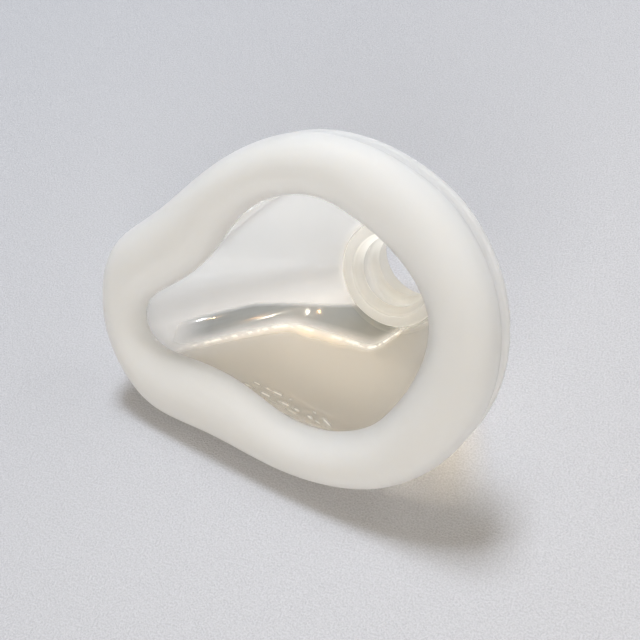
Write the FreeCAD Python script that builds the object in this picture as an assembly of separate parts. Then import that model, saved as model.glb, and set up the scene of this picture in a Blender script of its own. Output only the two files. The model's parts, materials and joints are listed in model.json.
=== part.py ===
import FreeCAD, Part
import math
import os

# An anaesthesia face mask, moulded in one piece from clear silicone.
# It is drawn in its own axes first: z = 0 is the plane that meets the face and z grows
# towards the port, x grows towards the chin, and the port's axis is x = y = 0.
# It is then laid on its side, as it comes to rest on a table. All sizes are millimetres.

# Outer rim of the cushion, seen along the port's axis
RIM_CHIN_REACH = 42.9
RIM_NOSE_REACH = 64.9
RIM_HALF_WIDTH = 42.3
# Height of the rim above the face plane
RIM_HEIGHT_NOSE = 10.5
RIM_HEIGHT_MIDDLE = 10.6
RIM_HEIGHT_CHIN = 13.7

# Free edge of the rolled lip, which frames the face opening
LIP_CHIN_REACH = 27.3
LIP_NOSE_REACH = 55.6
LIP_HALF_WIDTH = 29.0
LIP_HEIGHT_NOSE = 10.0
LIP_HEIGHT_MIDDLE = 7.5
LIP_HEIGHT_CHIN = 7.8

# Crest of the cushion, the part that meets the face
CREST_HEIGHT_NOSE = 2.8
CREST_HEIGHT_MIDDLE = 0.0
CREST_HEIGHT_CHIN = 1.2
CUSHION_BULGE = 1.66
CUSHION_WALL = 1.6
LIP_WALL = 1.1

# Thin rim that stands out behind the cushion
RIM_THICKNESS = 2.0
RIM_STAND_OUT = 1.7
GROOVE_DEPTH = 0.3
SHELF_THICKNESS = 2.2

# Mouth of the dome, a rounded ridge just behind the lip
MOUTH_CHIN_REACH = 30.0
MOUTH_NOSE_REACH = 58.6
MOUTH_HALF_WIDTH = 29.6
RIDGE_HEIGHT = 1.1
DOME_WALL = 2.2
DOME_ROUNDNESS = 0.35

# Port for the breathing circuit, a 22 mm socket
PORT_START = 40.2
PORT_LENGTH = 19.5
SOCKET_RADIUS = 11.0
PORT_WALL = 4.0
COLLAR_WALL = 3.05
COLLAR_STAND_IN = 2.4
PORT_EDGE_ROUND = 1.0
SOCKET_LEAD_IN = 0.5
FIRST_RIB_RADIUS = 9.6
FIRST_RIB_DEPTH = 3.0
GROOVE_RADIUS = 10.6
SECOND_RIB_RADIUS = 9.3
SECOND_RIB_DEPTH = 8.5
STOP_RADIUS = 8.7
STOP_DEPTH = 9.9
STOP_END = 10.8

# Stations down one side, from the chin to the nose. Each is a share of an outline's reach
# (towards the chin when positive, towards the nose when negative) and of its half width.
RIM_STATIONS = [
    (1.0, 0.0), (0.90, 0.45), (0.683, 0.735), (0.42, 0.9125), (0.04, 1.0),
    (-0.29, 0.90), (-0.569, 0.711), (-0.774, 0.589), (-0.931, 0.40), (-1.0, 0.0),
]
LIP_STATIONS = [
    (1.0, 0.0), (0.80, 0.483), (0.461, 0.807), (0.18, 0.959), (-0.10, 0.997),
    (-0.313, 0.869), (-0.51, 0.583), (-0.737, 0.366), (-0.928, 0.231), (-1.0, 0.0),
]
MOUTH_STATIONS = [
    (1.0, 0.0), (0.80, 0.527), (0.483, 0.855), (0.20, 1.0), (-0.085, 0.966),
    (-0.282, 0.807), (-0.495, 0.601), (-0.717, 0.426), (-0.91, 0.284), (-1.0, 0.0),
]

# Turns of the cushion's section from the lip's edge to the groove, in degrees
ARCH_TURNS = [0, 22, 45, 68, 90, 112, 132, 150]
DOME_STRIPS = 16
FOOT_STRIPS = 2

# Station where the rim's outline has its slight waist between nose and cheek
WAIST_STATION = 6


def whole_outline(stations, chin_reach, nose_reach, half_width):
    """Points right round an outline, from the shares down one side."""
    side = []
    for share_x, share_y in stations:
        reach = chin_reach if share_x > 0 else nose_reach
        side.append((share_x * reach, share_y * half_width))
    other_side = [(x, -y) for x, y in reversed(side[1:-1])]
    return side + other_side


def height_along(x, at_nose, at_middle, at_chin):
    """Height of a contour that rises away from the port's axis towards chin and nose."""
    if x > 0:
        return at_middle + (at_chin - at_middle) * (x / RIM_CHIN_REACH) ** 2
    return at_middle + (at_nose - at_middle) * (x / RIM_NOSE_REACH) ** 2


RIM = whole_outline(RIM_STATIONS, RIM_CHIN_REACH, RIM_NOSE_REACH, RIM_HALF_WIDTH)
LIP = whole_outline(LIP_STATIONS, LIP_CHIN_REACH, LIP_NOSE_REACH, LIP_HALF_WIDTH)
MOUTH = whole_outline(MOUTH_STATIONS, MOUTH_CHIN_REACH, MOUTH_NOSE_REACH, MOUTH_HALF_WIDTH)
COUNT = len(RIM)


def section_width(i):
    """Distance from the lip's edge to the rim at a station."""
    return math.dist(LIP[i], RIM[i])


def outward(i):
    """Unit direction from the lip's edge to the rim at a station."""
    width = section_width(i)
    return (RIM[i][0] - LIP[i][0]) / width, (RIM[i][1] - LIP[i][1]) / width


def rim_height(i):
    return height_along(RIM[i][0], RIM_HEIGHT_NOSE, RIM_HEIGHT_MIDDLE, RIM_HEIGHT_CHIN)


def shelf_front(i):
    return rim_height(i) - RIM_THICKNESS / 2


def ridge_top(i):
    return shelf_front(i) - RIDGE_HEIGHT


def beyond(base, i, out, z):
    """Point that lies out beyond a base outline at a station, at height z."""
    side = outward(i)
    return FreeCAD.Vector(base[i][0] + side[0] * out, base[i][1] + side[1] * out, z)


def ring(points):
    """Smooth closed curve through one point for each station, evenly paced in all rings."""
    curve = Part.BSplineCurve()
    pace = [k / COUNT for k in range(COUNT + 1)]
    curve.interpolate(Points=points, PeriodicFlag=True, Parameters=pace)
    return Part.Wire([curve.toShape()])


def skin(rings):
    """Faces from each ring to the next."""
    return Part.makeLoft(rings, False, True).Faces


def arch(i):
    """Outer side of the cushion's section: (distance out from the lip, height)."""
    width = section_width(i)
    lip_z = height_along(LIP[i][0], LIP_HEIGHT_NOSE, LIP_HEIGHT_MIDDLE, LIP_HEIGHT_CHIN)
    middle_x = (LIP[i][0] + RIM[i][0]) / 2
    crest_z = height_along(middle_x, CREST_HEIGHT_NOSE, CREST_HEIGHT_MIDDLE, CREST_HEIGHT_CHIN)
    rise = (lip_z + rim_height(i)) / 2 - crest_z
    points = []
    for angle in ARCH_TURNS:
        turn = math.radians(angle)
        share = (1 - math.cos(turn)) / 2
        out = width * share + 2 * CUSHION_BULGE * math.sin(turn) * share
        z = lip_z + (rim_height(i) - lip_z) * angle / 180 - rise * math.sin(turn)
        points.append((out, z))
    return points


def arch_inside(i):
    """The same section moved in by the wall, which thins towards the lip's edge."""
    points = arch(i)
    inside = []
    for k, (out, z) in enumerate(points):
        before = points[max(k - 1, 0)]
        after = points[min(k + 1, len(points) - 1)]
        run = (after[0] - before[0], after[1] - before[1])
        if k == 0:
            run = (0.0, -1.0)
        length = math.hypot(*run)
        wall = LIP_WALL + (CUSHION_WALL - LIP_WALL) * min(1.0, 2 * k / (len(points) - 1))
        inside.append((out - run[1] / length * wall, z + run[0] / length * wall))
    return inside


def cushion_outside(i):
    """Cushion from the lip's edge over the crest to its outer side."""
    return [beyond(LIP, i, out, z) for out, z in arch(i)]


def cushion_inside(i):
    points = [beyond(LIP, i, out, z) for out, z in arch_inside(i)]
    return points + [beyond(RIM, i, -RIM_STAND_OUT - CUSHION_WALL, shelf_front(i))]


def lip_edge(i):
    """Rounded free edge of the lip, from its outer to its inner side."""
    first, last = arch(i)[0], arch_inside(i)[0]
    tip = ((first[0] + last[0]) / 2, first[1] + LIP_WALL * 0.45)
    return [beyond(LIP, i, *point) for point in (first, tip, last)]


def rim_edge(i):
    """Rim from the groove behind the cushion round its edge to its back face."""
    half = RIM_THICKNESS / 2
    z = rim_height(i)
    return [
        beyond(LIP, i, *arch(i)[-1]),
        beyond(RIM, i, -RIM_STAND_OUT, z - half - GROOVE_DEPTH),
        beyond(RIM, i, -0.4 * half, z - half),
        beyond(RIM, i, 0, z + 0.2 * half),
        beyond(RIM, i, -0.5 * half, z + half),
    ]


def ridge(i):
    """Rounded ridge at the dome's mouth, from the shelf to the inside of the dome."""
    top = ridge_top(i)
    half = DOME_WALL / 2
    return [
        beyond(MOUTH, i, 2 * half + 0.3, shelf_front(i)),
        beyond(MOUTH, i, 1.4 * half, top),
        beyond(MOUTH, i, 0.5 * half, top),
        beyond(MOUTH, i, 0, top + half),
    ]


def meridian(i):
    """Inside of the dome from its mouth to the port: (distance from the port's ring, height)."""
    start = FreeCAD.Vector(MOUTH[i][0], MOUTH[i][1], ridge_top(i) + DOME_WALL / 2)
    angle = math.atan2(MOUTH[i][1], MOUTH[i][0])
    radius = SOCKET_RADIUS + COLLAR_WALL / 2
    end = FreeCAD.Vector(radius * math.cos(angle), radius * math.sin(angle), PORT_START + COLLAR_STAND_IN + 1)
    reach = math.hypot(start.x - end.x, start.y - end.y)
    side = ((start.x - end.x) / reach, (start.y - end.y) / reach)
    points = []
    for k in range(DOME_STRIPS + 1):
        step = k / DOME_STRIPS
        turn = step * math.pi / 2
        inward = (1 - DOME_ROUNDNESS) * (1 - step) + DOME_ROUNDNESS * math.cos(turn)
        rise = (1 - DOME_ROUNDNESS) * step + DOME_ROUNDNESS * math.sin(turn)
        points.append((reach * inward, start.z + (end.z - start.z) * rise))
    return end, side, points


def dome_inside(i):
    end, side, points = meridian(i)
    return [FreeCAD.Vector(end.x + side[0] * d, end.y + side[1] * d, z) for d, z in points]


def dome_outside(i):
    """Outer side of the dome, from its foot on the shelf up to the port."""
    end, side, points = meridian(i)
    outside = []
    for k, (d, z) in enumerate(points):
        before = points[max(k - 1, 0)]
        after = points[min(k + 1, len(points) - 1)]
        run = (after[0] - before[0], after[1] - before[1])
        length = math.hypot(*run)
        d = d + run[1] / length * DOME_WALL
        z = z - run[0] / length * DOME_WALL
        outside.append(FreeCAD.Vector(end.x + side[0] * d, end.y + side[1] * d, z))
    foot = beyond(MOUTH, i, DOME_WALL + 0.5, shelf_front(i) + SHELF_THICKNESS + 1)
    return [foot] + outside[FOOT_STRIPS:]


def shelf_back(i):
    """Back of the shelf, from the rim to the dome's foot, with a soft corner there."""
    edge = rim_edge(i)[-1]
    foot = dome_outside(i)[0]
    back = shelf_front(i) + SHELF_THICKNESS
    near = edge + (foot - edge) * 0.35
    corner = edge + (foot - edge) * 0.7
    return [edge, FreeCAD.Vector(near.x, near.y, back), FreeCAD.Vector(corner.x, corner.y, back + 0.2), foot]


def make_shell_body():
    """Cushion, rim, shelf and dome: one closed wall, without the port."""
    def rings_of(section):
        sections = [section(i) for i in range(COUNT)]
        return [ring([points[k] for points in sections]) for k in range(len(sections[0]))]

    cushion_out = rings_of(cushion_outside)
    cushion_in = rings_of(cushion_inside)
    mouth = rings_of(ridge)
    dome_in = rings_of(dome_inside)
    dome_out = rings_of(dome_outside)
    faces = skin(cushion_out)
    faces += skin(rings_of(rim_edge))
    faces += skin(rings_of(shelf_back))
    faces += skin(dome_out)
    faces += skin([dome_out[-1], dome_in[-1]])
    faces += skin(dome_in)
    faces += skin(mouth)
    faces += skin([mouth[0], cushion_in[-1]])
    faces += skin(cushion_in)
    faces += skin(rings_of(lip_edge))
    sewn = Part.makeShell(faces)
    sewn.sewShape()
    body = Part.makeSolid(sewn)
    if body.Volume < 0:
        body.reverse()
    return body


def turned(profile):
    """Solid of a closed (radius, height) profile turned round the port's axis."""
    points = [FreeCAD.Vector(r, 0, z) for r, z in profile]
    face = Part.Face(Part.makePolygon(points + points[:1]))
    return face.revolve(FreeCAD.Vector(0, 0, 0), FreeCAD.Vector(0, 0, 1), 360)


def make_port_body():
    """Socket wall with the collar that stands into the dome."""
    end = PORT_START + PORT_LENGTH
    collar = SOCKET_RADIUS + COLLAR_WALL
    outer = SOCKET_RADIUS + PORT_WALL
    seat = PORT_START + COLLAR_STAND_IN
    return turned([
        (0, PORT_START), (collar - 0.5, PORT_START), (collar, PORT_START + 0.5), (collar, seat),
        (outer + 0.7, seat), (outer, end - PORT_EDGE_ROUND), (outer - PORT_EDGE_ROUND, end), (0, end),
    ])


def make_bore():
    """Everything that is open inside the port, with its two sealing ribs and the stop."""
    start = PORT_START
    end = PORT_START + PORT_LENGTH
    return turned([
        (0, start - 1), (SOCKET_RADIUS, start - 1), (SOCKET_RADIUS, start + 0.6),
        (FIRST_RIB_RADIUS, start + FIRST_RIB_DEPTH - 0.4), (FIRST_RIB_RADIUS, start + FIRST_RIB_DEPTH + 0.4),
        (GROOVE_RADIUS, start + FIRST_RIB_DEPTH + 1.6), (GROOVE_RADIUS, start + SECOND_RIB_DEPTH - 1.2),
        (SECOND_RIB_RADIUS, start + SECOND_RIB_DEPTH), (STOP_RADIUS, start + STOP_DEPTH),
        (STOP_RADIUS, start + STOP_END), (SOCKET_RADIUS, start + STOP_END),
        (SOCKET_RADIUS, end - SOCKET_LEAD_IN), (SOCKET_RADIUS + SOCKET_LEAD_IN, end),
        (SOCKET_RADIUS + SOCKET_LEAD_IN, end + 1), (0, end + 1),
    ])


def make_mask():
    body = make_shell_body().fuse(make_port_body())
    return body.cut(make_bore()).removeSplitter()


def resting_down():
    """Direction that points down when the rim touches the table at two spots and the port at one."""
    rim = []
    for k in (3, 4):
        edge = ring([rim_edge(i)[k] for i in range(COUNT)]).Edges[0]
        rim += [point for point in edge.discretize(900) if point.y > 0]
    waist = RIM[WAIST_STATION][0]
    nose = [point for point in rim if point.x < waist]
    cheek = [point for point in rim if point.x > waist]
    end = PORT_START + PORT_LENGTH
    outer = SOCKET_RADIUS + PORT_WALL
    port = []
    for radius, z in ((outer, end - PORT_EDGE_ROUND), (outer - PORT_EDGE_ROUND, end)):
        port += Part.makeCircle(radius, FreeCAD.Vector(0, 0, z)).discretize(400)
    down = FreeCAD.Vector(0, 1, 0)
    for _ in range(12):
        a, b, c = [max(group, key=down.dot) for group in (nose, cheek, port)]
        down = (b - a).cross(c - a).normalize()
        if down.y < 0:
            down = down * -1
    return down


def laid_on_side(solid):
    """The mask as it rests, open side towards -y, with the middle of its footprint at x = y = 0."""
    up = resting_down() * -1
    chin = FreeCAD.Vector(1, 0, 0)
    x_axis = (chin - up * chin.dot(up)).normalize()
    y_axis = up.cross(x_axis)
    turn = FreeCAD.Rotation(x_axis, y_axis, up, "ZYX").inverted()
    laid = solid.copy()
    laid.Placement = FreeCAD.Placement(FreeCAD.Vector(0, 0, 0), turn)
    box = laid.optimalBoundingBox(False)
    middle = FreeCAD.Vector((box.XMin + box.XMax) / 2, (box.YMin + box.YMax) / 2, box.ZMin)
    laid.Placement = FreeCAD.Placement(middle * -1, turn)
    return laid


os.makedirs("parts", exist_ok=True)
mask = laid_on_side(make_mask())
mask.exportStep("parts/mask_body.step")
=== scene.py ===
import json
import math

import bmesh
import bpy
import numpy as np
from mathutils import Matrix, Vector


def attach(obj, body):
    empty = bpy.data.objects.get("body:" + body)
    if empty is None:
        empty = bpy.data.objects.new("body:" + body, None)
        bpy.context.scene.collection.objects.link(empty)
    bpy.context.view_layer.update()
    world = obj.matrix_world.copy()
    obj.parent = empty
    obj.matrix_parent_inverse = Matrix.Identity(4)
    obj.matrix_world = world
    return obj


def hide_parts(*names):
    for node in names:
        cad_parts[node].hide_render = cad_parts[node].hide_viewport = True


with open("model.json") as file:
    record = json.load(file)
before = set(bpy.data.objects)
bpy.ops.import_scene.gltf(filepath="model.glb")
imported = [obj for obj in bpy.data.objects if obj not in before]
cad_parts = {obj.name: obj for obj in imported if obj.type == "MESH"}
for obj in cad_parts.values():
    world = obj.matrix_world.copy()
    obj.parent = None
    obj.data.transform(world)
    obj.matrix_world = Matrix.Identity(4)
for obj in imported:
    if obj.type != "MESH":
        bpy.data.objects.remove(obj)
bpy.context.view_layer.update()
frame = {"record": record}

# An anaesthesia face mask, moulded in one piece from clear silicone. Its sizes are in
# millimetres in the mask's own axes: z = 0 meets the face and z grows towards the port,
# x grows towards the chin, and the port's axis is x = y = 0. MM turns them into metres.
MM = 0.001

# Outlines seen along the port's axis: reach to chin and nose, and half width
RIM_REACH = (42.9, 64.9, 42.3)
LIP_REACH = (27.3, 55.6, 29.0)
MOUTH_REACH = (30.0, 58.6, 29.6)

# Heights above the face plane at the nose, the middle and the chin
RIM_HEIGHTS = (10.5, 10.6, 13.7)
LIP_HEIGHTS = (10.0, 7.5, 7.8)
CREST_HEIGHTS = (2.8, 0.0, 1.2)

# Cushion, from its lip's edge at 0 degrees round its section to the groove before the rim
CUSHION_BULGE = 1.66
CUSHION_WALL = 1.6
LIP_WALL = 1.1
FULL_WALL_ANGLE = 75
DIRECTION_STEP = 5
OUTSIDE_ANGLES = (0, 14, 28, 43, 58, 73, 88, 103, 118, 132, 144, 152)
INSIDE_ANGLES = (146, 132, 118, 103, 88, 73, 58, 43, 28, 14, 0)

# Rim, groove, shelf and ridge. The rim's edge keeps inside its outline by RIM_INSET.
RIM_THICKNESS = 2.0
RIM_STAND_OUT = 1.7
RIM_INSET = 0.08
GROOVE_DEPTH = 0.3
SHELF_THICKNESS = 2.2
RIDGE_HEIGHT = 1.1

# Dome. Its outer side starts DOME_START above the mouth, and its curve runs on past the
# collar's root by DOME_OVERRUN.
DOME_WALL = 2.2
DOME_ROUNDNESS = 0.35
DOME_START = 5.5
DOME_OVERRUN = 1
DOME_STEPS = 41
OUTSIDE_RINGS = 8
INSIDE_SHARES = (0.96, 0.85, 0.7, 0.55, 0.4, 0.26, 0.13, 0.04)

# Port. SOCKET_POINT is the height of the point that the record gives for its socket.
PORT_START = 40.2
PORT_LENGTH = 19.5
SOCKET_RADIUS = 11.0
SOCKET_POINT = 59.0
PORT_WALL = 4.0
COLLAR_WALL = 3.05
COLLAR_STAND_IN = 2.4
PORT_RADIUS = SOCKET_RADIUS + PORT_WALL
NECK_RADIUS = PORT_RADIUS + 0.7
COLLAR_RADIUS = SOCKET_RADIUS + COLLAR_WALL

# Rings inside the port, as radius, height above the port's start, and how evenly the
# stations are spread round the ring, from 0, as on the dome, to 1, in equal steps
STOP_RIB = ((10.4, 10.7, 1.0), (8.9, 10.7, 1.0), (8.7, 10.3, 1.0), (8.75, 9.8, 1.0), (9.25, 8.6, 1.0))
BORE_GROOVE = ((10.2, 7.6, 1.0), (10.6, 7.2, 1.0), (10.6, 5.0, 1.0), (10.5, 4.5, 1.0))
INNER_RIB = ((9.75, 3.7, 1.0), (9.55, 3.2, 1.0), (9.6, 2.7, 1.0), (10.5, 1.2, 0.9))
COLLAR_FACE = (
    (11.0, 0.45, 0.8), (11.15, 0.05, 0.7), (11.6, 0.0, 0.6), (13.2, 0.0, 0.5),
    (13.9, 0.15, 0.4), (14.05, 0.6, 0.3),
)

# Stations down one side from chin to nose, as shares of reach and half width
RIM_STATIONS = [
    (1.0, 0.0), (0.90, 0.45), (0.683, 0.735), (0.42, 0.9125), (0.04, 1.0),
    (-0.29, 0.90), (-0.569, 0.711), (-0.774, 0.589), (-0.931, 0.40), (-1.0, 0.0),
]
LIP_STATIONS = [
    (1.0, 0.0), (0.80, 0.483), (0.461, 0.807), (0.18, 0.959), (-0.10, 0.997),
    (-0.313, 0.869), (-0.51, 0.583), (-0.737, 0.366), (-0.928, 0.231), (-1.0, 0.0),
]
MOUTH_STATIONS = [
    (1.0, 0.0), (0.80, 0.527), (0.483, 0.855), (0.20, 1.0), (-0.085, 0.966),
    (-0.282, 0.807), (-0.495, 0.601), (-0.717, 0.426), (-0.91, 0.284), (-1.0, 0.0),
]
SMOOTHING = 3
CUFF, DOME_OUTSIDE, DOME_INSIDE, PORT = 0, 1, 2, 3


def whole_outline(stations, reaches):
    """Points right round an outline, from the shares down one side."""
    chin, nose, half_width = reaches
    side = [(x * (chin if x > 0 else nose), y * half_width) for x, y in stations]
    return side + [(x, -y) for x, y in reversed(side[1:-1])]


RIM = whole_outline(RIM_STATIONS, RIM_REACH)
LIP = whole_outline(LIP_STATIONS, LIP_REACH)
MOUTH = whole_outline(MOUTH_STATIONS, MOUTH_REACH)
COUNT = len(RIM)


def height_along(x, heights):
    """Height of a contour that changes away from the port's axis towards chin and nose."""
    nose, middle, chin = heights
    if x > 0:
        return middle + (chin - middle) * (x / RIM_REACH[0]) ** 2
    return middle + (nose - middle) * (x / RIM_REACH[1]) ** 2


def outward(i):
    """Unit direction from the lip's edge to the rim at a station."""
    width = math.dist(LIP[i], RIM[i])
    return (RIM[i][0] - LIP[i][0]) / width, (RIM[i][1] - LIP[i][1]) / width


def beyond(base, i, out, z):
    """Point that lies out beyond a base outline at a station, at height z."""
    side = outward(i)
    return (base[i][0] + side[0] * out, base[i][1] + side[1] * out, z)


def rim_height(i):
    """Height of the middle of the rim's thickness."""
    return height_along(RIM[i][0], RIM_HEIGHTS)


def shelf_height(i):
    """Height of the shelf's side that looks towards the face."""
    return rim_height(i) - RIM_THICKNESS / 2


def arch_point(i, angle):
    """Outer side of the cushion's section at an angle round it: (out from the lip, height)."""
    width = math.dist(LIP[i], RIM[i])
    lip_z = height_along(LIP[i][0], LIP_HEIGHTS)
    crest_z = height_along((LIP[i][0] + RIM[i][0]) / 2, CREST_HEIGHTS)
    rise = (lip_z + rim_height(i)) / 2 - crest_z
    turn = math.radians(angle)
    share = (1 - math.cos(turn)) / 2
    out = width * share + 2 * CUSHION_BULGE * math.sin(turn) * share
    z = lip_z + (rim_height(i) - lip_z) * angle / 180 - rise * math.sin(turn)
    return out, z


def arch_inside_point(i, angle):
    """The same section moved in by the wall, which thins towards the lip's edge."""
    out, z = arch_point(i, angle)
    before = arch_point(i, max(angle - DIRECTION_STEP, 0))
    after = arch_point(i, angle + DIRECTION_STEP)
    run = (after[0] - before[0], after[1] - before[1]) if angle > 0 else (0.0, -1.0)
    length = math.hypot(*run)
    wall = LIP_WALL + (CUSHION_WALL - LIP_WALL) * min(1.0, angle / FULL_WALL_ANGLE)
    return out - run[1] / length * wall, z + run[0] / length * wall


def meridian(i, offset):
    """A dome surface from mouth to port: radii from the port's axis and heights."""
    start = math.hypot(*MOUTH[i])
    low = shelf_height(i) - RIDGE_HEIGHT + DOME_WALL / 2
    top = PORT_START + COLLAR_STAND_IN + DOME_OVERRUN
    radius = SOCKET_RADIUS + COLLAR_WALL / 2
    step = np.linspace(0, 1, DOME_STEPS)
    turn = step * math.pi / 2
    inward = (1 - DOME_ROUNDNESS) * (1 - step) + DOME_ROUNDNESS * np.cos(turn)
    rise = (1 - DOME_ROUNDNESS) * step + DOME_ROUNDNESS * np.sin(turn)
    out = radius + (start - radius) * inward
    z = low + (top - low) * rise
    run_out, run_z = np.gradient(out), np.gradient(z)
    length = np.hypot(run_out, run_z)
    return out + run_z / length * offset, z - run_out / length * offset


def dome_point(i, offset, share, start_radius, end_radius):
    """Point on a dome surface, a share of the way from a start radius to an end radius."""
    out, z = meridian(i, offset)
    radius = start_radius + (end_radius - start_radius) * share
    height = float(np.interp(-radius, -out, z))
    angle = math.atan2(MOUTH[i][1], MOUTH[i][0])
    return (radius * math.cos(angle), radius * math.sin(angle), height)


def on_circle(i, radius, z, even):
    """Point on a ring round the port's axis. even moves the stations to equal steps."""
    angle = math.atan2(MOUTH[i][1], MOUTH[i][0])
    equal = math.tau * i / COUNT
    if i > COUNT // 2:
        equal -= math.tau
    turn = angle + (equal - angle) * even
    return (radius * math.cos(turn), radius * math.sin(turn), z)


def cushion_outside(i):
    """From the lip's edge over the crest to the groove."""
    return [beyond(LIP, i, *arch_point(i, angle)) for angle in OUTSIDE_ANGLES]


def rim_edge(i):
    """The groove's floor, then round the rim's thickness."""
    half = RIM_THICKNESS / 2
    z = rim_height(i)
    return [
        beyond(RIM, i, -RIM_STAND_OUT, z - half - GROOVE_DEPTH),
        beyond(RIM, i, -0.6 * half, z - half),
        beyond(RIM, i, -RIM_INSET, z - 0.4 * half),
        beyond(RIM, i, -RIM_INSET, z + 0.5 * half),
        beyond(RIM, i, -0.7 * half, z + half),
    ]


def shelf_back(i):
    """The shelf's side that looks away from the face, from the rim to the dome's foot."""
    back = shelf_height(i) + SHELF_THICKNESS
    edge = Vector(rim_edge(i)[-1])
    foot = Vector(beyond(MOUTH, i, DOME_WALL + 0.5, back + 1))
    near, corner = edge.lerp(foot, 0.35), edge.lerp(foot, 0.7)
    return [(near.x, near.y, back), (corner.x, corner.y, back + 0.2), tuple(foot)]


def dome_outside(i):
    """The dome's outer side, from the shelf to the port's neck."""
    out, z = meridian(i, DOME_WALL)
    start = float(np.interp(DOME_START, z - z[0], out))
    return [
        dome_point(i, DOME_WALL, k / (OUTSIDE_RINGS - 1), start, NECK_RADIUS + 1.0)
        for k in range(OUTSIDE_RINGS)
    ]


def port_section(i, neck_z):
    """The port from its neck, at height neck_z, over its end and in again to the collar."""
    end = PORT_START + PORT_LENGTH
    outside = (
        (NECK_RADIUS + 0.1, neck_z + 1.6, 0.1), (NECK_RADIUS - 0.1, neck_z + 4.0, 0.5),
        (PORT_RADIUS + 0.15, end - 4.0, 0.9), (PORT_RADIUS, end - 1.2, 1.0),
        (PORT_RADIUS - 0.3, end - 0.3, 1.0), (PORT_RADIUS - 1.2, end - 0.08, 1.0),
    )
    socket = (
        (SOCKET_RADIUS + 0.8, end - 0.08, 1.0), (SOCKET_RADIUS + 0.1, end - 0.4, 1.0),
        (SOCKET_RADIUS, end - 1.5, 1.0), (SOCKET_RADIUS, PORT_START + 14.0, 1.0),
        (SOCKET_RADIUS, PORT_START + 11.1, 1.0),
    )
    inside = [(radius, PORT_START + rise, even)
              for radius, rise, even in STOP_RIB + BORE_GROOVE + INNER_RIB + COLLAR_FACE]
    out, z = meridian(i, 0)
    seat = float(np.interp(-(COLLAR_RADIUS + 0.6), -out, z))
    root = (COLLAR_RADIUS + 0.05, seat - 0.1, 0.0)
    return [on_circle(i, *ring) for ring in (*outside, *socket, *inside, root)]


def dome_inside(i):
    """The dome's inner side, from the collar back to the mouth."""
    mouth = float(meridian(i, 0)[0][0])
    return [dome_point(i, 0, share, mouth, COLLAR_RADIUS + 0.2) for share in INSIDE_SHARES]


def ridge(i):
    """The rounded ridge at the dome's mouth."""
    front = shelf_height(i)
    top = front - RIDGE_HEIGHT
    return [
        beyond(MOUTH, i, 0.0, top + 0.9),
        beyond(MOUTH, i, 0.3, top + 0.15),
        beyond(MOUTH, i, 1.1, top - 0.05),
        beyond(MOUTH, i, 1.9, top + 0.15),
        beyond(MOUTH, i, 2.4, front - 0.1),
    ]


def shelf_front(i):
    """The shelf's side that looks towards the face, from the ridge to the cushion's wall."""
    front = shelf_height(i)
    start = Vector(beyond(MOUTH, i, 3.0, front))
    end = Vector(beyond(RIM, i, -RIM_STAND_OUT - CUSHION_WALL, front))
    return [tuple(start.lerp(end, 0.1)), tuple(start.lerp(end, 0.92))]


def cushion_inside(i):
    """The cushion's inner side back to the lip, and the middle of the lip's edge."""
    points = [beyond(LIP, i, *arch_inside_point(i, angle)) for angle in INSIDE_ANGLES]
    first, last = arch_point(i, 0), arch_inside_point(i, 0)
    points.append(beyond(LIP, i, (first[0] + last[0]) / 2, first[1] + LIP_WALL * 0.5))
    return points


def section(i):
    """The wall's closed section at a station, as (point, finish), starting at the lip."""
    dome = dome_outside(i)
    neck_z = dome[-1][2]
    stretches = (
        (CUFF, cushion_outside(i) + rim_edge(i)),
        (DOME_OUTSIDE, shelf_back(i) + dome),
        (PORT, port_section(i, neck_z)),
        (DOME_INSIDE, dome_inside(i) + ridge(i)),
        (CUFF, shelf_front(i) + cushion_inside(i)),
    )
    return [(point, finish) for finish, points in stretches for point in points]


def filled_out(points):
    """Moves a closed section's points out across it, so that smoothing brings them back."""
    points = np.array(points)
    before, after = np.roll(points, 1, axis=0), np.roll(points, -1, axis=0)
    along = after - before
    along /= np.linalg.norm(along, axis=1, keepdims=True)
    shift = (2 * points - before - after) / 6
    shift -= along * np.sum(shift * along, axis=1, keepdims=True)
    return points + shift


def cage_of(ring):
    """Cage points whose smoothed ring passes through the given points."""
    size = len(ring)
    pull = np.eye(size) * 4 / 6
    for k in range(size):
        pull[k, (k + 1) % size] = pull[k, k - 1] = 1 / 6
    return np.linalg.solve(pull, np.array(ring))


def mask_to_row():
    """Places the mask's own axes, in millimetres, in the row frame, from the port's mount."""
    port = next(m for m in frame["record"]["mounts"] if m["name"] == "circuit_port")
    z_axis = Vector(port["axis"]).normalized()
    x_axis = Vector((-z_axis.z, 0, z_axis.x)).normalized()
    y_axis = z_axis.cross(x_axis)
    turn = Matrix((x_axis, y_axis, z_axis)).transposed().to_4x4()
    origin = Vector(port["pos_m"]) - z_axis * SOCKET_POINT * MM
    return Matrix.Translation(origin) @ turn @ Matrix.Scale(MM, 4)


TO_ROW = mask_to_row()


def deselect_all():
    if bpy.context.object and bpy.context.object.mode != "OBJECT":
        bpy.ops.object.mode_set(mode="OBJECT")
    bpy.ops.object.select_all(action="DESELECT")


def place_ring(sheet, places, finish):
    """Puts the selected ring of the sheet in place and gives its new faces a finish."""
    mesh = bmesh.from_edit_mesh(sheet.data)
    station = mesh.verts.layers.int["station"]
    for vertex in mesh.verts:
        if vertex.select:
            vertex.co = TO_ROW @ Vector(places[vertex[station]])
            for face in vertex.link_faces:
                face.material_index = finish
    bmesh.update_edit_mesh(sheet.data)


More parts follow.
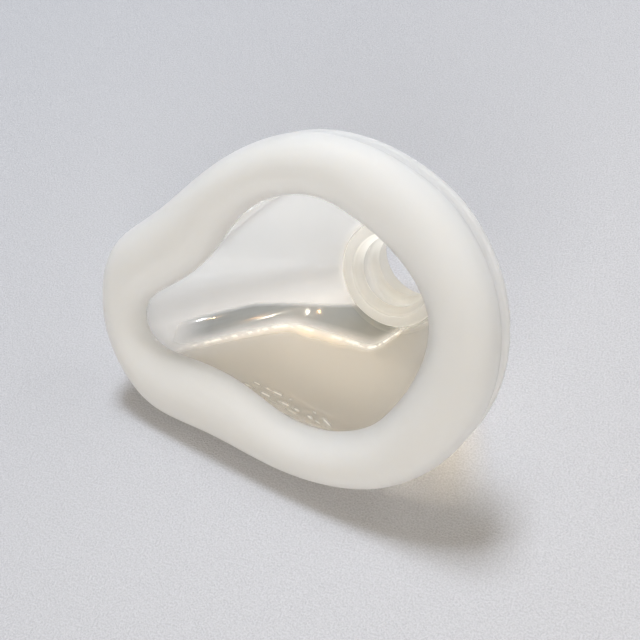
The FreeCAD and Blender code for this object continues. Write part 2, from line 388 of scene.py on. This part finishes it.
def moulding():
    """The whole mask: one ring drawn out along the wall's section until it meets itself."""
    deselect_all()
    bpy.ops.mesh.primitive_circle_add(vertices=COUNT)
    mask = bpy.context.object
    mask.name = "silicone_mask"
    bpy.ops.object.mode_set(mode="EDIT")
    bpy.ops.mesh.select_mode(type="VERT")
    mesh = bmesh.from_edit_mesh(mask.data)
    station = mesh.verts.layers.int.new("station")
    for vertex in mesh.verts:
        vertex[station] = vertex.index
    bmesh.update_edit_mesh(mask.data)
    finishes = [finish for place, finish in section(0)]
    sections = [filled_out([place for place, finish in section(i)]) for i in range(COUNT)]
    rings = [cage_of(ring) for ring in zip(*sections)]
    place_ring(mask, rings[0], CUFF)
    for ring, finish in zip(rings[1:] + rings[:1], finishes[1:] + finishes[:1]):
        bpy.ops.mesh.extrude_edges_move()
        place_ring(mask, ring, finish)
    bpy.ops.mesh.select_all(action="SELECT")
    bpy.ops.mesh.remove_doubles(threshold=0.01 * MM)
    bpy.ops.mesh.normals_make_consistent(inside=False)
    bpy.ops.object.mode_set(mode="OBJECT")
    smooth = mask.modifiers.new("smooth", "SUBSURF")
    smooth.levels = smooth.render_levels = SMOOTHING
    bpy.ops.object.modifier_apply(modifier=smooth.name)
    bpy.ops.object.shade_smooth()
    return mask


class Socket:
    """A shader value that Python's operators work on."""

    def __init__(self, tree, socket):
        self.tree = tree
        self.socket = socket

    def _maths(self, operation, other=0.0, swap=False):
        node = self.tree.nodes.new("ShaderNodeMath")
        node.operation = operation
        pair = (other, self) if swap else (self, other)
        for slot, value in zip(node.inputs, pair):
            connect(self.tree, slot, value)
        return Socket(self.tree, node.outputs[0])

    def __add__(self, other):
        return self._maths("ADD", other)

    def __radd__(self, other):
        return self._maths("ADD", other, swap=True)

    def __mul__(self, other):
        return self._maths("MULTIPLY", other)

    def __rmul__(self, other):
        return self._maths("MULTIPLY", other, swap=True)

    def __sub__(self, other):
        return self._maths("SUBTRACT", other)

    def __rsub__(self, other):
        return self._maths("SUBTRACT", other, swap=True)

    def __abs__(self):
        return self._maths("ABSOLUTE")

    def root(self):
        """The square root."""
        return self._maths("SQRT")

    def whole(self):
        """The nearest whole number."""
        return self._maths("ROUND")

    def at_least(self, other, rounding=0.0):
        """The larger of two values, rounded off where they are nearly equal."""
        found = self._maths("SMOOTH_MAX", other)
        found.socket.node.inputs[2].default_value = rounding
        return found

    def at_most(self, other, rounding=0.0):
        """The smaller of two values, rounded off where they are nearly equal."""
        found = self._maths("SMOOTH_MIN", other)
        found.socket.node.inputs[2].default_value = rounding
        return found

    def share(self):
        """The value kept between 0 and 1."""
        return self.at_least(0.0).at_most(1.0)


def connect(tree, slot, value):
    """Sets a node's input to a value, or links it to a socket."""
    if isinstance(value, Socket):
        tree.links.new(value.socket, slot)
    else:
        slot.default_value = value


class Finish:
    """The nodes of a material or of the world, under construction."""

    def __init__(self, owner):
        owner.use_nodes = True
        self.owner = owner
        self.tree = owner.node_tree
        self.tree.nodes.clear()

    def node(self, kind, settings=(), output=0, stops=(), **values):
        """Adds a node with its settings, stops and inputs, and gives one of its outputs."""
        node = self.tree.nodes.new(kind)
        for key, value in dict(settings).items():
            setattr(node, key, value)
        for k, (position, colour) in enumerate(stops):
            if k > 1:
                node.color_ramp.elements.new(position)
            node.color_ramp.elements[k].position = position
            node.color_ramp.elements[k].color = (*colour, 1)
        for key, value in values.items():
            slot = node.inputs[int(key[1:])] if key[0] == "_" else node.inputs[key.replace("_", " ")]
            connect(self.tree, slot, value)
        return Socket(self.tree, node.outputs[output])

    def colours(self, share, first, second):
        """Mix of two colours."""
        return self.node("ShaderNodeMix", {"data_type": "RGBA"}, output=2, _0=share, _6=first, _7=second)

    def shaders(self, share, first, second):
        """Mix of two shaders."""
        return self.node("ShaderNodeMixShader", Fac=share, _1=first, _2=second)

    def greys(self, value, stops):
        """A value looked up in a ramp of plain numbers."""
        return self.node("ShaderNodeValToRGB", Fac=value, stops=[(at, (level,) * 3) for at, level in stops])

    def place(self):
        """Place on the piece in the row frame, in metres."""
        return self.node("ShaderNodeTexCoord", output=3)

    def close(self, surface, kind="ShaderNodeOutputMaterial"):
        """Ends the nodes in their output, and gives the finished material or world."""
        output = self.tree.nodes.new(kind)
        self.tree.links.new(surface.socket, output.inputs["Surface"])
        return self.owner


SILICONE_IOR = 1.41
# Tint of the lamplight that comes through where it is strongest and where it is weakest,
# and the share of the strongest by slant of the wall, from 0, head on, to 1, edge on
EVEN = ((0.0, 1.0), (0.9, 0.0))
MILKY = ((0.38, 0.345, 0.28), (0.12, 0.105, 0.085), EVEN)
CURVED = ((1.45, 1.32, 1.12), (0.15, 0.14, 0.12),
          ((0.0, 0.60), (0.42, 0.61), (0.56, 1.0), (0.78, 0.36), (0.95, 0.0)))
CLEAR = ((0.98, 0.975, 0.96), (0.90, 0.88, 0.84), EVEN)
THICK = ((0.80, 0.77, 0.70), (0.2, 0.19, 0.16), EVEN)


def lets_light_by(finish, surface, strongest, weakest, share_by_slant):
    """Lets lamps shine through a surface, tinted by how far its wall slants."""
    slant = finish.node("ShaderNodeLayerWeight", output=1, Blend=0.5)
    share = finish.greys(slant, share_by_slant)
    weak = finish.node("ShaderNodeBsdfTransparent", Color=(*weakest, 1))
    strong = finish.node("ShaderNodeBsdfTransparent", Color=(*strongest, 1))
    shadow_ray = finish.node("ShaderNodeLightPath", output=1)
    return finish.shaders(shadow_ray, surface, finish.shaders(share, weak, strong))


def mask_coordinates(finish):
    """Place on the mask in its own axes, in millimetres."""
    place = finish.place()
    back = TO_ROW.inverted()
    found = []
    for row in back[:3]:
        along = finish.node("ShaderNodeVectorMath", {"operation": "DOT_PRODUCT"}, output=1,
                            _0=place, _1=tuple(row[:3]))
        found.append(along + row[3])
    return found


# Painted light and shade on the clear dome's lower side, in millimetres in the mask's own axes: a bright
# caustic line, a warm caustic glow next to it, rows of highlights along the ridge, a dark shade stripe
# beside the line and a darker wall past it. A straight stretch is given by its slope and its y where x = 0,
# and a sharpness is a change per mm.
END_SHARPNESS = 0.5
CAUSTIC_ENDS = (-51.0, 1.0)
CAUSTIC_LEVEL = 8.7
CAUSTIC_RISE = (0.45, 20.7)
CAUSTIC_FALL = (-0.49, 14.8)
CAUSTIC_LOW_BEND = 2.5
CAUSTIC_HIGH_BEND = 3.0
CAUSTIC_SHARPNESS = 2.8
# Painted warm caustic glow, just past the bright caustic line and strongest near x = -23
GLOW_SHIFT = 0.5
GLOW_SHARPNESS = 0.8
GLOW_MIDDLE = -23.0
GLOW_PEAK = 1.2
GLOW_FALL = 0.08
GLOW_LEAST = 0.25
# A painted dark shade stripe beside the caustic line, reaching from it to the top stretch
BAND_TOP = (0.21, 9.9)
BAND_TOP_LEVEL = 2.2
BAND_TOP_SHARPNESS = 0.9
BAND_BOTTOM_SHARPNESS = 0.45
BAND_START = -54.0
BAND_START_SHARPNESS = 0.12
RIDGE_LINE = (0.495, 32.0)
RIDGE_ENDS = (-31.0, -5.0)
# The painted highlights along the ridge lie in three rows of dashes beside each other
ROWS_PER_MM = 1.8
ROW_SHARPNESS = 3.2
ROWS_REACH = 1.5
ROWS_EDGE_SHARPNESS = 9.0
ROW_STRENGTH = 0.8
# The noise that breaks the painted bright lines into dashes: its pace along a line, and the step from row
# to row
DASH_PACE = 0.4
DASH_STEP = 7.3


def straight(x, stretch):
    """Height of a straight stretch at x."""
    slope, height = stretch
    return slope * x + height


def line(distance, sharpness):
    """1 on a line, falling to 0 with the distance from it."""
    return (1.0 - abs(distance) * sharpness).share()


def between(x, ends):
    """1 between two ends, fading to 0 at both."""
    return ((x - ends[0]) * END_SHARPNESS).share() * ((ends[1] - x) * END_SHARPNESS).share()


def painted_light_marks(finish):
    """Shares of the painted bright lines (the caustic line and the ridge's highlights), the painted warm
    caustic glow, the painted dark shade stripe and the painted darker wall past the line, and the dashes'
    place.
    """
    x, y, _ = mask_coordinates(finish)
    # The path of the painted bright caustic line
    caustic_path = straight(x, CAUSTIC_RISE).at_least(CAUSTIC_LEVEL, CAUSTIC_LOW_BEND)
    caustic_path = caustic_path.at_most(straight(x, CAUSTIC_FALL), CAUSTIC_HIGH_BEND)
    ends = between(x, CAUSTIC_ENDS)
    fine = line(y - caustic_path, CAUSTIC_SHARPNESS) * ends
    # Painted warm caustic glow, strongest near its middle
    strength = (GLOW_PEAK - abs(x - GLOW_MIDDLE) * GLOW_FALL).at_least(GLOW_LEAST)
    caustic_glow = line(y - caustic_path - GLOW_SHIFT, GLOW_SHARPNESS) * ends * strength

    # Painted highlights in rows of dashes along the ridge
    beside = (y - straight(x, RIDGE_LINE)) * ROWS_PER_MM
    row = beside.whole()
    rows = line(beside - row, ROW_SHARPNESS) * ((ROWS_REACH - abs(beside)) * ROWS_EDGE_SHARPNESS).share()
    ridge_highlights = rows * between(x, RIDGE_ENDS) * ROW_STRENGTH
    dash_places = finish.node("ShaderNodeCombineXYZ", _0=x * DASH_PACE, _1=row * DASH_STEP)

    # Painted shade: a dark stripe beside the caustic line, and a darker wall past it
    top = straight(x, BAND_TOP).at_least(BAND_TOP_LEVEL)
    shade_band = ((caustic_path - y) * BAND_BOTTOM_SHARPNESS).share() * ((y - top) * BAND_TOP_SHARPNESS).share()
    shade_band = shade_band * ((x - BAND_START) * BAND_START_SHARPNESS).share()
    shade_below = (y - caustic_path).share()
    return fine.at_least(ridge_highlights), caustic_glow, shade_band, shade_below, dash_places


def clear_silicone(let_by):
    """The dome's glossy inner face, with a painted bright caustic line, painted highlights on the ridge, a
    painted warm caustic glow, and painted shade: a dark stripe and a darker wall past the line.
    """
    finish = Finish(bpy.data.materials.new("clear_silicone"))
    lines, caustic_glow, shade_band, shade_below, dash_places = painted_light_marks(finish)
    dash_noise = finish.node("ShaderNodeTexNoise", Vector=dash_places, Scale=1.0, Detail=0.0)
    patch = finish.node("ShaderNodeTexNoise", Vector=finish.place(), Scale=90.0, Detail=1.0)
    # Painted shade: the wall past the caustic line darker, and a dark stripe beside the line
    tone = finish.colours(shade_below, (0.96, 0.965, 0.96, 1), (0.72, 0.70, 0.64, 1))
    tone = finish.colours(shade_band, tone, (0.29, 0.305, 0.28, 1))
    surface = finish.node(
        "ShaderNodeBsdfPrincipled", Base_Color=tone, Roughness=0.08, IOR=SILICONE_IOR,
        Transmission_Weight=0.95, Subsurface_Weight=1.0,
        Subsurface_Radius=(1.0, 0.92, 0.78), Subsurface_Scale=0.003,
    )
    milk = finish.node("ShaderNodeBsdfDiffuse", Color=(1.0, 0.975, 0.93, 1))
    warm = finish.node("ShaderNodeBsdfDiffuse", Color=(1.0, 0.81, 0.57, 1))
    bright = finish.node("ShaderNodeBsdfDiffuse", Color=(1.0, 0.97, 0.90, 1))
    # The milky glow is left out where the shade is painted
    milk_share = (1.0 - shade_band * 1.5 - shade_below).share() * 0.22
    # Painted warm caustic glow, broken into patches
    caustic_glow_share = caustic_glow * ((patch - 0.30) * 3.0).share() * 0.7
    # Painted bright caustic line and painted ridge highlights, broken into dashes
    line_share = lines * ((dash_noise - 0.42) * 6.0).share() * 0.9
    surface = finish.shaders(milk_share, surface, milk)
    surface = finish.shaders(caustic_glow_share, surface, warm)
    surface = finish.shaders(line_share, surface, bright)
    return finish.close(lets_light_by(finish, surface, *let_by))


# How milky the port is by depth under its collar's face, as a share of RING_DEPTH in mm: partly the thick
# steps' own milky look, partly painted light and shade, bright where the ribs catch the light and clear and
# darker in the grooves
RING_DEPTH = 20.0
RING_MILK_AND_SHADE = (
    (0.0, 0.45), (0.025, 0.85), (0.05, 0.65), (0.15, 0.85), (0.18, 0.45), (0.22, 0.12),
    (0.36, 0.15), (0.40, 0.55), (0.49, 0.85), (0.53, 0.70), (0.57, 0.35), (0.95, 0.40),
)
# A painted highlight line round the collar's outer edge
COLLAR_EDGE_RADIUS = 13.85
COLLAR_EDGE_SHARPNESS = 5.0
COLLAR_EDGE_DEPTH = 1.2
COLLAR_HIGHLIGHT_SHARE = 0.9


def port_rings(finish):
    """How milky the port is, with painted light and shade: its steps milkier and brighter, its grooves
    clearer, and a painted highlight line on its collar's edge.
    """
    x, y, z = mask_coordinates(finish)
    # The steps' own milky look, with painted light and shade on the ribs
    rings = finish.greys((z - PORT_START) * (1 / RING_DEPTH), RING_MILK_AND_SHADE)
    radius = (x * x + y * y).root()
    # Painted highlight line on the collar's outer edge
    edge = line(radius - COLLAR_EDGE_RADIUS, COLLAR_EDGE_SHARPNESS)
    edge = edge * (PORT_START + COLLAR_EDGE_DEPTH - z).share()
    return rings.at_least(edge * COLLAR_HIGHLIGHT_SHARE)


def silicone(name, colour, roughness, clearness, milk_and_painted_light, depth, let_by):
    """Silicone of one clearness. Its milky share is a number, or a function that draws it, which for the
    port also paints light and shade.

    depth is how far light goes in, in metres.
    """
    finish = Finish(bpy.data.materials.new(name))
    if callable(milk_and_painted_light):
        milk_and_painted_light = milk_and_painted_light(finish)
    mottle = finish.node("ShaderNodeTexNoise", Vector=finish.place(), Scale=70.0, Detail=2.0)
    surface = finish.node(
        "ShaderNodeBsdfPrincipled", Base_Color=colour, Roughness=roughness - 0.02 + 0.04 * mottle,
        IOR=SILICONE_IOR, Transmission_Weight=clearness, Subsurface_Weight=1.0,
        Subsurface_Radius=(1.0, 0.97, 0.92), Subsurface_Scale=depth,
    )
    glow = finish.node("ShaderNodeBsdfTranslucent", Color=colour)
    surface = finish.shaders(milk_and_painted_light, surface, glow)
    return finish.close(lets_light_by(finish, surface, *let_by))


FLOOR_SIZE = 8
FLOOR_SHADED_COOL = (0.48, 0.49, 0.525, 1)
FLOOR_LIT_WARM = (0.60, 0.585, 0.595, 1)
FLECK_DARK = 0.91
FLECK_LIGHT = 1.09


def floor():
    """Pale floor with a fine grain, and painted light: darker and cooler far off to the left, lighter and
    warmer near to the right.
    """
    deselect_all()
    bpy.ops.mesh.primitive_plane_add(size=FLOOR_SIZE)
    ground = bpy.context.object
    ground.name = "floor"
    finish = Finish(bpy.data.materials.new("floor_paint"))
    place = finish.place()
    grain = finish.node("ShaderNodeTexNoise", Vector=place, Scale=2200.0, Detail=1.0)
    bump = finish.node("ShaderNodeBump", Height=grain, Strength=0.7, Distance=0.0004)
    across = finish.node("ShaderNodeSeparateXYZ", Vector=place)
    away = finish.node("ShaderNodeSeparateXYZ", output=1, Vector=place)
    # Painted light: the floor lighter and warmer towards the near right
    tone = finish.colours((0.5 + 1.8 * across - 0.9 * away).share(), FLOOR_SHADED_COOL, FLOOR_LIT_WARM)
    fleck = finish.node("ShaderNodeMapRange", Value=grain, From_Min=0.35, From_Max=0.65,
                        To_Min=FLECK_DARK, To_Max=FLECK_LIGHT)
    tone = finish.node("ShaderNodeVectorMath", {"operation": "SCALE"}, _0=tone, Scale=fleck)
    surface = finish.node("ShaderNodeBsdfPrincipled", Base_Color=tone, Roughness=0.55, Normal=bump)
    ground.data.materials.append(finish.close(surface))


WHITE = (1.0, 1.0, 1.0)
COOL_WHITE = (0.92, 0.985, 1.085)
WARM_WHITE = (1.0, 0.95, 0.87)
AMBER = (1.0, 0.6, 0.3)
MASK_MIDDLE = (0, 0, 0.03)
MASK_FOOT = (0, 0, 0.01)


def lamp(name, place, aim, size, power, colour, glint=False):
    """A square area lamp that points at a place. A glint shows in gloss alone, the rest never."""
    data = bpy.data.lights.new(name, "AREA")
    data.size = size
    data.energy = power
    data.color = colour
    thing = bpy.data.objects.new(name, data)
    thing.location = place
    thing.rotation_euler = (Vector(aim) - Vector(place)).to_track_quat("-Z", "Y").to_euler()
    thing.visible_glossy = glint
    thing.visible_diffuse = not glint
    thing.visible_transmission = False
    bpy.context.scene.collection.objects.link(thing)


def surround():
    """World light, bright above, dim low down and a little warm, with a pale backdrop to look at."""
    world = bpy.data.worlds.new("surround")
    bpy.context.scene.world = world
    finish = Finish(world)
    direction = finish.node("ShaderNodeTexCoord", output=0)
    height = finish.node("ShaderNodeSeparateXYZ", output=2, Vector=direction)
    tone = finish.node("ShaderNodeValToRGB", Fac=height,
                       stops=((0.0, (0.21, 0.195, 0.165)), (0.75, (0.35, 0.327, 0.282))))
    light = finish.node("ShaderNodeBackground", Color=tone, Strength=1.0)
    backdrop = finish.node("ShaderNodeBackground", Color=(0.66, 0.645, 0.635, 1), Strength=1.0)
    camera_ray = finish.node("ShaderNodeLightPath", output=0)
    finish.close(finish.shaders(camera_ray, light, backdrop), "ShaderNodeOutputWorld")


def studio():
    """Three soft lamps, the strongest above and behind, and four small ones for the glints."""
    surround()
    lamp("soft_light", (-0.34, 1.30, 2.70), MASK_MIDDLE, 0.7, 72, COOL_WHITE)
    lamp("front_light", (0.5, -2.4, 1.3), MASK_MIDDLE, 1.6, 40, WARM_WHITE)
    lamp("side_light", (1.3, 0.9, 1.6), MASK_MIDDLE, 0.6, 3, WHITE)
    lamp("back_white_glint", (-0.375, 0.405, 1.41), MASK_FOOT, 0.04, 2.6, WHITE, glint=True)
    lamp("back_warm_glint", (-0.205, 0.245, 1.475), MASK_FOOT, 0.03, 1.8, AMBER, glint=True)
    lamp("front_white_glint", (0.533, -0.405, 1.345), MASK_FOOT, 0.04, 1.5, WHITE, glint=True)
    lamp("front_warm_glint", (0.424, -0.369, 1.395), MASK_FOOT, 0.03, 1.1, AMBER, glint=True)


CAMERA_PLACE = (0.0924, -0.1676, 0.2528)
CAMERA_AIM = (0.0041, -0.0046, 0.025)
CAMERA_ROLL = 12.16
CAMERA_LENS = 67.5


def camera():
    """Camera at the photograph's viewing angle, looking down over the chin's side."""
    data = bpy.data.cameras.new("camera")
    data.lens = CAMERA_LENS
    data.sensor_width = 36.0
    data.clip_start = 0.01
    thing = bpy.data.objects.new("camera", data)
    bpy.context.scene.collection.objects.link(thing)
    bpy.context.scene.camera = thing
    look = (Vector(CAMERA_AIM) - Vector(CAMERA_PLACE)).to_track_quat("-Z", "Y").to_matrix().to_4x4()
    roll = Matrix.Rotation(math.radians(-CAMERA_ROLL), 4, "Z")
    thing.matrix_world = Matrix.Translation(CAMERA_PLACE) @ look @ roll


mask = moulding()
for finish in (
    silicone("cuff_silicone", (0.975, 0.985, 0.995, 1), 0.42, 0.36, 0.15, 0.003, MILKY),
    silicone("frosted_silicone", (0.97, 0.97, 0.96, 1), 0.24, 0.90, 0.60, 0.003, CURVED),
    clear_silicone(CLEAR),
    silicone("port_silicone", (0.99, 0.98, 0.95, 1), 0.06, 0.50, port_rings, 0.0015, THICK),
):
    mask.data.materials.append(finish)
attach(mask, "root")
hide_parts("mask_body")
floor()
studio()
camera()
bpy.context.scene.view_settings.view_transform = "Standard"
